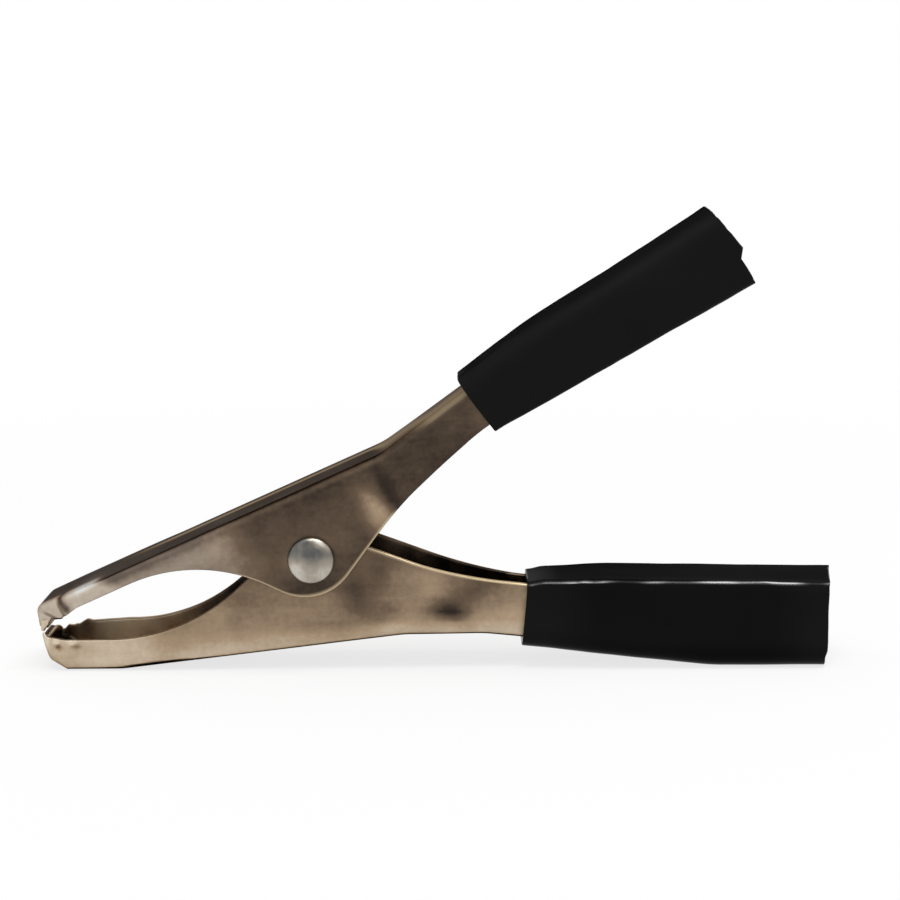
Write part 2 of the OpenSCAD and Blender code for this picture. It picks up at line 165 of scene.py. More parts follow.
# A channel's section: its web and near edge in side view, half widths, bend, and its far side's extras
Section = namedtuple("Section", "web edge web_half edge_half bend far_rise far_wide", defaults=(0,))


# Plane helpers

def mix(a, b, k):
    return a + (b - a) * k


def ease(a, b, x):
    k = min(1, max(0, (x - a) / (b - a)))
    return k * k * (3 - 2 * k)


def turned(p, angle):
    c, s = math.cos(angle), math.sin(angle)
    return Vector((p[0] * c - p[1] * s, p[0] * s + p[1] * c))


def corner(a, b, c, r, steps):
    """The arc that rounds corner b between a and c with radius r, as steps + 1 points."""
    to_a, to_c = (a - b).normalized(), (c - b).normalized()
    half = to_a.angle(to_c) / 2
    centre = b + (to_a + to_c).normalized() * (r / math.sin(half))
    start = b + to_a * (r / math.tan(half)) - centre
    way = 1 if to_a.x * to_c.y > to_a.y * to_c.x else -1
    sweep = -way * (math.pi - 2 * half)
    return [centre + turned(start, sweep * i / steps) for i in range(steps + 1)]


def rounded(path, steps=16):
    """A path of (x, y, corner radius) points with its corners rounded."""
    flat = [Vector(p[:2]) for p in path]
    points = []
    for i, p in enumerate(path):
        if p[2] == 0:
            points.append(flat[i])
        else:
            points += corner(flat[i - 1], flat[i], flat[i + 1], p[2], steps)
    return points


def at(x, path):
    """The height of a path at x."""
    i = bisect_right([p[0] for p in path], x)
    if i == 0:
        return path[0][1]
    if i == len(path):
        return path[-1][1]
    a, b = path[i - 1], path[i]
    return mix(a[1], b[1], (x - a[0]) / (b[0] - a[0]))


def outline(corners, runs):
    """A path through (x, y, radius, arc steps) corners. Each straight run gets a fixed count of
    points, closer together near its ends, so that all rings match."""
    flat = [Vector(c[:2]) for c in corners]
    arcs = []
    for i, (_, _, r, steps) in enumerate(corners):
        arcs.append(corner(flat[i - 1], flat[i], flat[i + 1], r, steps) if r else [flat[i]])
    points = list(arcs[0])
    for arc, count in zip(arcs[1:], runs):
        start = points[-1]
        for k in range(1, count + 1):
            share = (1 - math.cos(math.pi * k / (count + 1))) / 2
            points.append(start.lerp(arc[0], share))
        points += arc
    return points


# Skins over sections

# Points in each arc and straight run of a section
ARC_STEPS = 9
EDGE_STEPS = 3
SHOULDER_STEPS = 24
WEB_RUN = 5
FLANGE_RUN = 8

# Limits of a wall's radii, as a length and as shares of the flange and of the sheet
MIN_BEND = 0.25
BEND_SHARE = 0.45
ROUND_SHARE = 0.24
RIM_SHARE = 0.25

# Distances along the jaws and the sleeves between sections, and the finer ones near their ends
JAW_STEP = 0.45
JAW_FINE = 0.2
SLEEVE_STEP = 0.4
SLEEVE_FINE = 0.1

# Points round a turned solid, and distances below which points are merged
TURN_STEPS = 96
SMALL_TURN_STEPS = 64
SEAM = 0.0001
CUT_SEAM = 0.002


def wall_side(section, height, thin, inner):
    """Half of one surface of a channel's wall, from the middle of its web to its edge, as
    (across, down) points. thin pulls both surfaces into the wall, to round an end."""
    inset = SHEET - thin if inner else thin
    lean = (section.edge_half - section.web_half) / height
    slant = math.sqrt(1 + lean * lean)
    top = height - thin
    web_x = section.web_half + lean * inset - inset * slant
    edge_x = section.web_half + lean * top - inset * slant
    rim = (SHEET - 2 * thin) * slant * (-RIM_SHARE if inner else RIM_SHARE)
    bend = min(max(section.bend - inset, MIN_BEND), BEND_SHARE * (top - inset))
    edge_r = min(EDGE_R, ROUND_SHARE * (SHEET - 2 * thin))
    return outline(
        [(0, inset, 0, 0), (web_x, inset, bend, ARC_STEPS), (edge_x, top, edge_r, EDGE_STEPS),
         (edge_x - rim, top, 0, 0)],
        (WEB_RUN, FLANGE_RUN, 0))


def channel_ring(section, thin):
    """The closed ring of a channel's wall, as (side view, across) pairs."""
    near_h = (section.edge - section.web).length
    down = (section.edge - section.web) / near_h
    wide = section._replace(
        web_half=section.web_half + section.far_wide, edge_half=section.edge_half + section.far_wide)
    sides = []
    for inner in (False, True):
        near = wall_side(section, near_h, thin, inner)
        far = wall_side(wide, near_h + section.far_rise, thin, inner)
        line = [(section.web + down * p.y, -p.x) for p in reversed(near)]
        line += [(section.web + down * p.y, p.x) for p in far[1:]]
        sides.append(line)
    return sides[0] + sides[1][::-1]


def sleeve_ring(section, gap, slack, lift, shoulder):
    """The closed ring of a sleeve that stands off a section by gap, by slack more at the web and by
    lift more at the edges, where its corners have the shoulder's radius."""
    height = (section.edge - section.web).length
    down = (section.edge - section.web) / height
    lean = (section.edge_half - section.web_half) / height
    wall = gap * math.sqrt(1 + lean * lean)
    web_y = -gap - slack
    edge_y = height + gap + lift
    web_x = section.web_half + wall + lean * web_y
    edge_x = section.edge_half + wall + lean * (gap + lift)
    half = outline(
        [(0, web_y, 0, 0), (web_x, web_y, section.bend + gap, ARC_STEPS),
         (edge_x, edge_y, shoulder, SHOULDER_STEPS), (0, edge_y, 0, 0)],
        (WEB_RUN, FLANGE_RUN, WEB_RUN))
    far = [(section.web + down * p.y, p.x) for p in half]
    near = [(q, -y) for q, y in far[1:-1]]
    return far + near[::-1]


def in_clip(ring, angle=0.0):
    """Ring points as places in the clip, with the side view turned by an angle."""
    places = []
    for q, y in ring:
        q = turned(q, angle)
        places.append(PIVOT + Vector((q.x, y, q.y)))
    return places


def skin(name, rings, loop=False):
    """A closed mesh over rings with equal point counts."""
    count = len(rings[0])
    verts = [p * MM for ring in rings for p in ring]
    faces = []
    bands = len(rings) if loop else len(rings) - 1
    for i in range(bands):
        a, b = i * count, (i + 1) % len(rings) * count
        for j in range(count):
            k = (j + 1) % count
            faces.append((a + j, a + k, b + k, b + j))
    if not loop:
        last = (len(rings) - 1) * count
        for j in range(count // 2 - 1):
            strip = (j, j + 1, count - 2 - j, count - 1 - j)
            faces.append(strip[::-1])
            faces.append(tuple(last + s for s in strip))
    return mesh_object(name, verts, faces)


def mesh_object(name, verts, faces):
    mesh = bpy.data.meshes.new(name)
    mesh.from_pydata(verts, [], faces)
    obj = bpy.data.objects.new(name, mesh)
    bpy.context.scene.collection.objects.link(obj)
    work = bmesh.new()
    work.from_mesh(mesh)
    bmesh.ops.remove_doubles(work, verts=work.verts, dist=SEAM * MM)
    bmesh.ops.recalc_face_normals(work, faces=work.faces)
    work.to_mesh(mesh)
    work.free()
    return obj


def lathe(name, profile, steps, place):
    """A solid turned from (radius, height) points about its own Z, in place."""
    verts, faces = [], []
    rings = []
    for r, z in profile:
        if r < 1e-6:
            rings.append([len(verts)])
            verts.append(Vector((0, 0, z)))
        else:
            rings.append(list(range(len(verts), len(verts) + steps)))
            for k in range(steps):
                a = 2 * math.pi * k / steps
                verts.append(Vector((r * math.cos(a), r * math.sin(a), z)))
    for low, high in zip(rings, rings[1:]):
        for k in range(steps):
            n = (k + 1) % steps
            quad = [low[k % len(low)], low[n % len(low)], high[n % len(high)], high[k % len(high)]]
            faces.append(tuple(dict.fromkeys(quad)))
    return mesh_object(name, [place @ v * MM for v in verts], faces)


def apply_step(obj, step):
    bpy.context.view_layer.objects.active = obj
    bpy.ops.object.modifier_apply(modifier=step.name)


def cut(obj, tool):
    """Cuts the tool out of obj and deletes it."""
    step = obj.modifiers.new("cut", "BOOLEAN")
    step.operation = "DIFFERENCE"
    step.solver = "EXACT"
    step.object = tool
    apply_step(obj, step)
    bpy.data.objects.remove(tool)
    work = bmesh.new()
    work.from_mesh(obj.data)
    bmesh.ops.remove_doubles(work, verts=work.verts, dist=CUT_SEAM * MM)
    bmesh.ops.holes_fill(work, edges=[e for e in work.edges if e.is_boundary], sides=8)
    work.to_mesh(obj.data)
    work.free()


def box_tool(low, high):
    xs, ys, zs = zip(low, high)
    corners = [Vector((x, y, z)) for x in xs for y in ys for z in zs]
    faces = [(0, 1, 3, 2), (4, 6, 7, 5), (0, 4, 5, 1), (2, 3, 7, 6), (0, 2, 6, 4), (1, 5, 7, 3)]
    return mesh_object("tool", [(PIVOT + c) * MM for c in corners], faces)


def smooth(obj, angle=35):
    obj.data.shade_smooth()
    obj.data.set_sharp_from_angle(angle=math.radians(angle))
    return obj


def shift_points(obj, rule):
    """Moves each point of a mesh by what the rule gives for its place from the rivet's axis."""
    for v in obj.data.vertices:
        p = v.co / MM - PIVOT
        v.co += rule(p) * MM
    obj.data.update()


def tint_points(obj, name, rule):
    """Writes the rule's value for each point, and its normal, into a named attribute."""
    values = [rule(v.co / MM - PIVOT, v.normal) for v in obj.data.vertices]
    layer = obj.data.attributes.new(name, "FLOAT", "POINT")
    layer.data.foreach_set("value", values)


def bump_at(p, x, z, wide, high, turn=0.0):
    """A soft round spot in side view, from 1 at its middle to 0."""
    q = turned((p.x - x, p.z - z), -turn)
    return math.exp(-(q.x / wide) ** 2 - (q.y / high) ** 2)


# Lower jaw

lip = Vector((-(NOSE_REACH - OVERBITE), -(BITE_DROP + LIP_GAP)))
chin = Vector((lip.x + 0.75, 1.4 - PIVOT_H))
ground_clear = SLEEVE + SLEEVE_GAP
barrel_start = LOWER_HANDLE - BARREL_LEN
handle_end = barrel_start - 0.8
barrel_z = ground_clear - PIVOT_H + SHEET + BARREL_R
barrel_half = BARREL_R + SHEET

lower_web_path = rounded([
    (-FOOT_FRONT, -PIVOT_H, 0),
    (FOOT_LEN - FOOT_FRONT, -PIVOT_H, 12),
    (NECK_X, -NECK_DROP, 16),
    (NECK_X + NECK_LEN, -NECK_DROP, 16),
    (HEEL_X, ground_clear - PIVOT_H, 30),
    (LOWER_SLEEVE_END + 1, ground_clear - PIVOT_H, 0)])
throat_top = LOWER_EAR_R / math.cos(THROAT_RISE)
neck_top = LOWER_EAR_R / math.cos(NECK_FALL)
ear_x = (neck_top - throat_top) / (math.tan(THROAT_RISE) + math.tan(NECK_FALL))
lower_edge_path = rounded([
    (-FOOT_FRONT, -EDGE_DROP, 0),
    (-(EDGE_DROP + throat_top) / math.tan(THROAT_RISE), -EDGE_DROP, THROAT_R),
    (ear_x, throat_top + ear_x * math.tan(THROAT_RISE), LOWER_EAR_R),
    ((HANDLE_EDGE_DROP + neck_top) / math.tan(NECK_FALL), -HANDLE_EDGE_DROP, 60),
    (handle_end - 1, -HANDLE_EDGE_DROP, 0.5),
    (handle_end - 0.3, barrel_z - 3, 0.3),
    (barrel_start, barrel_z - 3, 0.3),
    (barrel_start + 0.4, barrel_z + BARREL_EAR, 0.2),
    (LOWER_SLEEVE_END, barrel_z + BARREL_EAR, 0)])
lower_web_half = rounded([
    (-FOOT_FRONT, LOWER_HALF, 0), (NECK_X, LOWER_HALF, 30), (LOWER_MOUTH + 1, GRIP_WEB_HALF, 30),
    (handle_end - 1, GRIP_WEB_HALF, 0), (barrel_start + 0.3, barrel_half, 0),
    (LOWER_SLEEVE_END, barrel_half, 0)])
lower_edge_half = rounded([
    (-FOOT_FRONT, LOWER_HALF, 0), (NECK_X + 2, LOWER_HALF, 14), (LOWER_MOUTH - 0.5, NECK_HALF, 8),
    (LOWER_MOUTH + GRIP_FLARE, GRIP_EDGE_HALF, 20), (handle_end - 1, GRIP_EDGE_HALF, 0),
    (barrel_start + 0.3, barrel_half, 0), (LOWER_SLEEVE_END, barrel_half, 0)])
lower_bend = [(-FOOT_FRONT, BEND), (handle_end - 1, BEND), (barrel_start + 0.3, barrel_half)]

# How far the far edge stands above the near one: it is lower at the lip and has the one tooth
far_bite = rounded([
    (-34, -0.45, 0), (-31.5, -0.6, 0.4), (-30.6, 0, 0.3), (-30.05, 0.32, 0.25), (-29.3, 0.12, 0.4),
    (-27.3, 0.26, 2), (-24.6, 0.4, 3), (-20.6, 0.1, 3), (-15, -0.15, 3), (-8, -0.26, 3), (-3, 0, 0)], 6)


def lower_section(x):
    return Section(
        Vector((x, at(x, lower_web_path))), Vector((x, at(x, lower_edge_path))), at(x, lower_web_half),
        at(x, lower_edge_half), at(x, lower_bend), at(x, far_bite))


def lower_nose():
    """Sections that fan from the lip round the chin to the foot."""
    path = rounded([(lip.x, lip.y, 0), (chin.x, chin.y, 1.2), (-FOOT_FRONT, -PIVOT_H, 0)], 10)
    lip_edge = Vector((lip.x + NOSE_SIDE - LIP_TRIM, lip.y))
    foot_edge = Vector((-FOOT_FRONT, -EDGE_DROP))
    last = len(path) - 1
    sections = []
    for i in range(last):
        for part in (0, 0.5):
            k = (i + part) / last
            edge = lip_edge.lerp(foot_edge, k)
            sections.append(Section(
                path[i].lerp(path[i + 1], part), edge, mix(CHIN_HALF - CHIN_DRAW, LOWER_HALF, k),
                mix(CHIN_HALF, LOWER_HALF, k), mix(NOSE_BEND, BEND, k), at(edge.x, far_bite)))
    return sections


def moved(section, by):
    return section._replace(web=section.web + by, edge=section.edge + by)


def with_round_ends(sections, ring_of):
    """Rings of the sections, with both ends of the wall rounded over the sheet's edge radius."""
    rings = [ring_of(s, 0) for s in sections]
    for place, nxt in ((0, 1), (-1, -2)):
        end = sections[place]
        out = (end.web - sections[nxt].web).normalized()
        caps = [ring_of(moved(end, out * -EDGE_R * (1 - math.sin(a))), EDGE_R * (1 - math.cos(a)))
                for a in (math.radians(30), math.radians(60), math.radians(90))]
        rings[place] = ring_of(moved(end, out * -EDGE_R), 0)
        rings = caps[::-1] + rings if place == 0 else rings + caps
    return rings


def waves(p, size, deep):
    """A slow ripple of the sheet, with another one on the far side."""
    layer = 3.1 if p.y > 0 else 8.7
    return deep * noise.noise(Vector((p.x / size, p.z / size, layer)))


def lower_shift(p):
    """Dents and ripples of the lower jaw, and its lip, with the near corner up and the far one down."""
    side = 1 if p.y > 0 else -1
    flange = ease(3.0, 4.2, abs(p.y)) * ease(-13.6, -12.6, p.z)
    y = waves(p, 9, 0.06) * flange
    y -= 0.16 * bump_at(p, 17.6, -5.8, 2.6, 1.2, -0.15) * flange
    y -= 0.08 * bump_at(p, 9.2, -5.6, 1.8, 1.0) * flange
    near_corner = ease(4.0, 4.15, -p.y)
    raised = (LIP_RISE + NEAR_RISE * near_corner) * ease(-33.2, -33.9, p.x) * ease(-11.2, -10.3, p.z)
    far_corner = ease(1.2, 3.4, p.y) * ease(-32.4, -33.2, p.x)
    dropped = FAR_FALL * far_corner * ease(-12.4, -10.3, p.z)
    return Vector((0, side * y, raised - dropped))


across_pivot = Matrix.Translation(PIVOT) @ Matrix.Rotation(math.pi / 2, 4, "X")


def cut_rivet_hole(jaw):
    r = RIVET_R + RIVET_FIT
    half = 8
    cut(jaw, lathe("tool", [(0, -half), (r, -half), (r, half), (0, half)], TURN_STEPS, across_pivot))


def make_lower_jaw():
    sections = lower_nose()
    x = -FOOT_FRONT
    while x < LOWER_HANDLE:
        sections.append(lower_section(x))
        x += JAW_FINE if x < -24 or x > handle_end - 2 else JAW_STEP
    sections.append(lower_section(LOWER_HANDLE))
    jaw = skin("lower_jaw_sheet", with_round_ends(
        sections, lambda s, thin: in_clip(channel_ring(s, thin))))
    shift_points(jaw, lower_shift)
    cut_rivet_hole(jaw)
    return smooth(jaw)


# Upper jaw

def in_upper(p):
    """A place in side view, in the upper jaw's own frame."""
    return turned((p.x, p.z), -TILT)


lip_up = turned((LIP_IN - NOSE_REACH, LIP_GAP / 2 - BITE_DROP), -TILT)
level = turned((1, 0), -TILT)
upright = turned((0, 1), -TILT)
nose_v = UPPER_WEB - NOSE_R
nose_centre = Vector(((NOSE_R - NOSE_REACH + nose_v * math.sin(TILT)) / math.cos(TILT), nose_v))
upper_start = nose_centre.x + 1.8
upper_edge = UPPER_WEB - UPPER_FLANGE
ear_front = (-12.4, upper_edge)
ear_tip = (-1.5, -6.5)
ear_back = (12.45, 1.5)
neck_edge = (26.5, 5.9)
handle_rise = 0.1
arm_end = UPPER_MOUTH + 1
arm_v = UPPER_WEB + (arm_end - KINK_U) * math.tan(KINK_TURN)
web_end = UPPER_SLEEVE_END + 1
edge_end = web_end + 4
upper_web_path = rounded([
    (upper_start, UPPER_WEB, 0), (KINK_U, UPPER_WEB, 12), (arm_end, arm_v, 60),
    (web_end, arm_v + (web_end - arm_end) * math.tan(HANDLE_TURN), 0)])
upper_edge_path = rounded([
    (upper_start, upper_edge - NOSE_DEEP, 0), (upper_start + DEEP_LEN, upper_edge, 3),
    (*ear_front, 20.5), (*ear_tip, UPPER_EAR_R), (*ear_back, 32), (*neck_edge, 30),
    (edge_end, neck_edge[1] + (edge_end - neck_edge[0]) * handle_rise, 0)])

# How far the upper jaw's sections turn with its kink and its handle
upper_square = [(KINK_U - 5, 0), (KINK_U + 5, KINK_TURN), (web_end, math.radians(6.5))]
upper_web_half = rounded([
    (upper_start, UPPER_HALF, 0), (KINK_U, UPPER_HALF, 20), (UPPER_MOUTH, LOWER_HALF + 0.3, 20),
    (web_end, LOWER_HALF + 0.3, 0)])
upper_edge_half = rounded([
    (upper_start, UPPER_HALF, 0), (11.5, UPPER_HALF, 7), (18, 3.7, 8), (UPPER_MOUTH, NECK_HALF + 0.3, 20),
    (UPPER_MOUTH + GRIP_FLARE, GRIP_EDGE_HALF, 20), (web_end, GRIP_EDGE_HALF, 0)])


def upper_section(u):
    depth = at(u, upper_web_path) - at(u, upper_edge_path)
    edge_u = u + depth * math.tan(at(u, upper_square))
    pinch = NOSE_PINCH * ease(upper_start + PINCH_LEN, upper_start, u)
    return Section(
        Vector((u, at(u, upper_web_path))), Vector((edge_u, at(edge_u, upper_edge_path))),
        at(u, upper_web_half) - pinch, at(u, upper_edge_half) - pinch, BEND, 0, pinch)


def upper_nose():
    """Sections that fan from the lip round the nose to the web, with the near side pinched in."""
    side_low = lip_up + level * NOSE_SIDE
    side_high = side_low + upright * NOSE_UPRIGHT
    steps = 20
    far_short = -0.6
    side_end = Vector((upper_start, upper_edge - NOSE_DEEP))
    lip_section = Section(lip_up, side_low, NOSE_HALF - NOSE_DRAW, NOSE_HALF, NOSE_BEND, 0)
    sections = [lip_section]
    for i in range(steps + 1):
        k = i / (steps + 1)
        a = mix(math.pi - TILT, math.pi / 2, i / steps)
        grow = ease(0, 1, k)
        pinch = NOSE_PINCH * grow
        sections.append(Section(
            nose_centre + turned((NOSE_R, 0), a), side_high.lerp(side_end, k),
            mix(NOSE_HALF - NOSE_DRAW, UPPER_HALF, grow) - pinch, mix(NOSE_HALF, UPPER_HALF, grow) - pinch,
            mix(NOSE_BEND, BEND, k), far_short * (1 - k), pinch))
    return sections


def upper_shift(p):
    """Ripples of the upper jaw, and the lip's near corner, which is cut off at a slant."""
    side = 1 if p.y > 0 else -1
    flange = ease(3.0, 4.2, abs(p.y))
    y = waves(p, 11, 0.07) * flange
    slant = CUT_LOW + CUT_RISE * min(1, max(0, (p.x - CUT_START) / CUT_LEN))
    raised = slant * ease(-1.4, -3.0, p.y) * ease(-8.4, -9.4, p.z)
    return Vector((0, side * y, raised))


def make_claw():
    """The bent claw at the near side of the upper lip, as rows of (front, back, outside, height)."""
    tip = CLAW_SHORT - BITE_DROP
    rows = [(-34.3, -33.3, 3.84, -8.1), (-34.3, -33.4, 3.86, -8.6), (-34.35, -33.7, 3.84, -9.0),
            (-34.4, -33.85, 3.78, -9.2), (-34.4, -33.95, 3.7, -9.4), (-34.35, -34.0, 3.6, tip)]
    rings = []
    for front, back, out, z in rows:
        inside = out - SHEET * ease(tip - 0.8, -9.6, z) - 0.2
        ring = [(front, -out), (back, -out), (back, -inside), (front, -inside)]
        rings.append([PIVOT + Vector((x, y, z)) for x, y in ring])
    claw = skin("claw", rings)
    step = claw.modifiers.new("round", "BEVEL")
    step.width = 0.1 * MM
    step.segments = 3
    apply_step(claw, step)
    return smooth(claw, 50)


def make_upper_jaw():
    sections = upper_nose()
    u = upper_start
    while u < UPPER_HANDLE:
        sections.append(upper_section(u))
        u += JAW_FINE if u < upper_start + PINCH_LEN else JAW_STEP
    sections.append(upper_section(UPPER_HANDLE))
    jaw = skin("upper_jaw_sheet", with_round_ends(
        sections, lambda s, thin: in_clip(channel_ring(s, thin), TILT)))
    shift_points(jaw, upper_shift)
    cut_rivet_hole(jaw)
    return smooth(jaw)


# Rivet, spring and screw

def make_rivet():
    inner = UPPER_HALF + CLEAR
    outer = inner + RIVET_HEAD_T
    bevel = 0.4
    crown = 0.06
    half = [(0, outer + crown), (0.9, outer + crown * 0.9), (1.7, outer + crown * 0.5),
            (RIVET_HEAD_R - bevel - 0.25, outer), (RIVET_HEAD_R - bevel, outer - 0.05),
            (RIVET_HEAD_R - 0.12, outer - bevel + 0.1), (RIVET_HEAD_R, outer - bevel - 0.05),
            (RIVET_HEAD_R, inner + 0.1), (RIVET_HEAD_R - 0.1, inner), (RIVET_R, inner)]
    profile = half + [(r, -z) for r, z in reversed(half)]
    rivet = lathe("pivot_rivet_turned", profile, TURN_STEPS, across_pivot)

    def scuff(p):
        face = ease(outer - 0.3, outer, abs(p.y)) * (1 if p.y > 0 else -1)
        return Vector((0, -0.05 * face * noise.noise(p * 0.9), 0))

    shift_points(rivet, scuff)
    return smooth(rivet, 40)


def wire_ring(angle, y, along, r=WIRE_R):
    """A ring of the wire at an angle of the coil, or along the straight line that leaves it there."""
    sides = 20
    ring = []
    for j in range(sides):
        b = 2 * math.pi * j / sides
        reach = COIL_R + r * math.cos(b)
        ring.append(PIVOT + Vector((
            reach * math.cos(angle) - along * math.sin(angle), y + r * math.sin(b),
            reach * math.sin(angle) + along * math.cos(angle))))
    return ring


def make_spring():
    leg_in = SHEET + WIRE_R + CLEAR
    upper_leg = turned((LEG_REACH, at(LEG_REACH, upper_web_path) - leg_in / math.cos(KINK_TURN)), TILT)
    lower_leg = Vector((LEG_REACH, at(LEG_REACH, lower_web_path) + leg_in))
    upper_touch = math.atan2(upper_leg.y, upper_leg.x) + math.acos(COIL_R / upper_leg.length)
    lower_touch = math.atan2(lower_leg.y, lower_leg.x) - math.acos(COIL_R / lower_leg.length)
    sweep = 2 * math.pi * (COIL_TURNS + 1) - (upper_touch - lower_touch)
    half = COIL_PITCH * sweep / (4 * math.pi)
    upper_len = math.sqrt(upper_leg.length_squared - COIL_R ** 2)
    lower_len = math.sqrt(lower_leg.length_squared - COIL_R ** 2)
    end_r = WIRE_R * 0.7
    end_len = 0.2
    leg_start = 0.5
    leg_steps = 8
    coil_steps = 240
    rings = [wire_ring(upper_touch, -half, -upper_len, end_r)]
    for i in range(leg_steps + 1):
        rings.append(wire_ring(upper_touch, -half, -mix(upper_len - end_len, leg_start, i / leg_steps)))
    for i in range(coil_steps + 1):
        k = i / coil_steps
        rings.append(wire_ring(upper_touch + sweep * k, mix(-half, half, k), 0))
    for i in range(leg_steps + 1):
        rings.append(wire_ring(lower_touch, half, mix(leg_start, lower_len - end_len, i / leg_steps)))
    rings.append(wire_ring(lower_touch, half, lower_len, end_r))
    spring = smooth(skin("spring_wire", rings), 50)
    return spring, half


screw_web = at(SCREW_X, lower_web_path)
on_screw = Matrix.Translation(PIVOT + Vector((SCREW_X, 0, screw_web)))


def make_collar():
    inner = SCREW_R + CLEAR
    outer = SCREW_R + SHEET
    flare = outer + 0.9
    base = SHEET * 0.6
    top = SHEET + COLLAR_H
    profile = [(inner, base), (flare, base), (flare, SHEET + 0.02), (outer + 0.35, SHEET + 0.12),
               (outer + 0.08, SHEET + 0.4), (outer, top - 0.2), (outer - 0.2, top), (inner + 0.15, top),
               (inner, top - 0.15), (inner, base)]
    return smooth(lathe("thread_collar", profile, SMALL_TURN_STEPS, on_screw))


def make_screw():
    seat = SHEET + COLLAR_H + CLEAR
    top = seat + SCREW_HEAD_H
    end = 0.3
    pitch = 0.5
    slot_half = 1.7
    slot_side = 0.45
    slot_deep = 1
    profile = [(0, end), (SCREW_R - 0.25, end)]
    z = 0.45
    while z < seat - pitch:
        profile += [(SCREW_R - 0.02, z), (SCREW_R - 0.28, z + pitch / 2)]
        z += pitch
    profile += [(SCREW_R - 0.05, seat), (SCREW_HEAD_R - 0.1, seat)]
    profile += [tuple(p) for p in rounded([
        (SCREW_HEAD_R, seat, 0), (SCREW_HEAD_R, top, 1.1), (0, top, 0)], 10)]
    screw = lathe("cable_screw_turned", profile, SMALL_TURN_STEPS, on_screw)
    z = screw_web + top
    for x, y in ((slot_half, slot_side), (slot_side, slot_half)):
        cut(screw, box_tool((SCREW_X - x, -y, z - slot_deep), (SCREW_X + x, y, z + slot_deep)))
    return smooth(screw)


# Sleeves

def make_sleeve(name, sections, slacks, lifts, dips, slants, angle, shift, shoulder):
    """One wall over the sections of its handle, with rounded rims at the mouth and the end. The
    slants lean its last rings, and the dips lower its outside at the mouth."""
    full = SLEEVE_GAP + SLEEVE
    last = len(sections) - 1
    along = (sections[last].web - sections[last - 1].web).normalized()

    def row(i, gap, dip=0.0):
        corner_r = shoulder * (gap / full) ** 2
        ring = sleeve_ring(sections[i], gap, slacks[i], lifts[i] - dip, corner_r)
        return in_clip([(q + along * y * slants[i], y) for q, y in ring], angle)

    def wall(gap, rim_gap, dip):
        middle = [row(i, gap, dip * dips[i]) for i in range(1, last)]
        return [row(0, rim_gap, dip * dips[0])] + middle + [row(last, rim_gap)]

    rings = wall(full, full - 0.1, 1) + wall(SLEEVE_GAP, SLEEVE_GAP + 0.1, 0)[::-1]
    body = skin(name, rings, loop=True)
    shift_points(body, shift)
    return smooth(body, 40)


def sleeve_waves(p, size, deep):
    q = p / size
    return Vector([deep * noise.noise(q + Vector((k * 7.3, 0, 0))) for k in range(3)])


def lower_sleeve_shift(p):
    """Ripples, two soft kinks across the upper edge and a torn rim at the far end."""
    by = sleeve_waves(p, 7, 0.08)
    by += sleeve_waves(p, 2.6, 0.02)
    shoulder = math.exp(-((p.z + 5.2) / 1.3) ** 2)
    inward = 1 if p.y < 0 else -1
    for x, deep in ((34.2, 0.16), (57.0, 0.12)):
        kink = deep * shoulder * math.exp(-((p.x - x) / 0.8) ** 2)
        by += Vector((0, inward * kink, 0))
    by *= ease(LOWER_MOUTH - 0.2, LOWER_MOUTH + 2, p.x)
    by.x += (0.35 - 0.75 * ease(-3, -13, p.z)) * ease(LOWER_MOUTH + 4, LOWER_MOUTH, p.x)
    rim = ease(LOWER_SLEEVE_END - 2.5, LOWER_SLEEVE_END, p.x)
    by.x += rim * (0.12 * noise.noise(Vector((p.y, p.z, 4.0))) - 0.5 * ease(-11.6, -13.2, p.z))
    return by


def upper_sleeve_shift(p):
    """Ripples, a rounded upper corner and a torn nub at the far end."""
    q = in_upper(p)
    rim = ease(UPPER_SLEEVE_END - 3, UPPER_SLEEVE_END, q.x)
    nub = 0.75 * ease(18.5, 13.4, q.y) * ease(12.8, 13.2, q.y) - 0.5 * ease(17.6, 19.2, q.y)
    out = rim * (nub + 0.15 * noise.noise(p * 0.9))
    torn = turned((out, 0), TILT)
    return sleeve_waves(p, 8, 0.1) + sleeve_waves(p, 2.2, 0.03) + Vector((torn.x, 0, torn.y))


def spans(start, end, step, fine):
    """Places from start to end, closer together near both ends."""
    places = [start, start + fine, start + 2 * fine]
    count = math.ceil((end - start - 4 * fine) / step)
    places += [mix(start + 2 * fine, end - 2 * fine, i / count) for i in range(1, count + 1)]
    return places + [end - fine, end]


def lower_grip(x):
    """The lower handle's section under the sleeve, which runs on past its barrel."""
    web = Vector((x, at(x, lower_web_path)))
    if x > handle_end - 3:
        return Section(web, Vector((x, -HANDLE_EDGE_DROP)), GRIP_WEB_HALF, GRIP_EDGE_HALF, BEND, 0)
    edge = Vector((x, at(x, lower_edge_path)))
    return Section(web, edge, at(x, lower_web_half), at(x, lower_edge_half), BEND, 0)


def end_slants(places, end, slope):
    """The lean of each ring, which grows over the last stretch of a sleeve."""
    return [slope * max(0, 1 - (end - x) / SLANT_LEN) for x in places]


def make_lower_sleeve():
    xs = spans(LOWER_MOUTH, LOWER_SLEEVE_END, SLEEVE_STEP, SLEEVE_FINE)
    lift = rounded([
        (LOWER_MOUTH, 0, 0), (LOWER_MOUTH + 9, LOWER_BULGE, 60), (LOWER_SLEEVE_END, 0, 0)])
    return make_sleeve(
        "lower_grip_sleeve", [lower_grip(x) for x in xs], [0 for _ in xs], [at(x, lift) for x in xs],
        [0.4 * ease(LOWER_MOUTH + 2.6, LOWER_MOUTH, x) for x in xs],
        end_slants(xs, LOWER_SLEEVE_END, LOWER_SLANT), 0, lower_sleeve_shift, LOWER_SHOULDER)


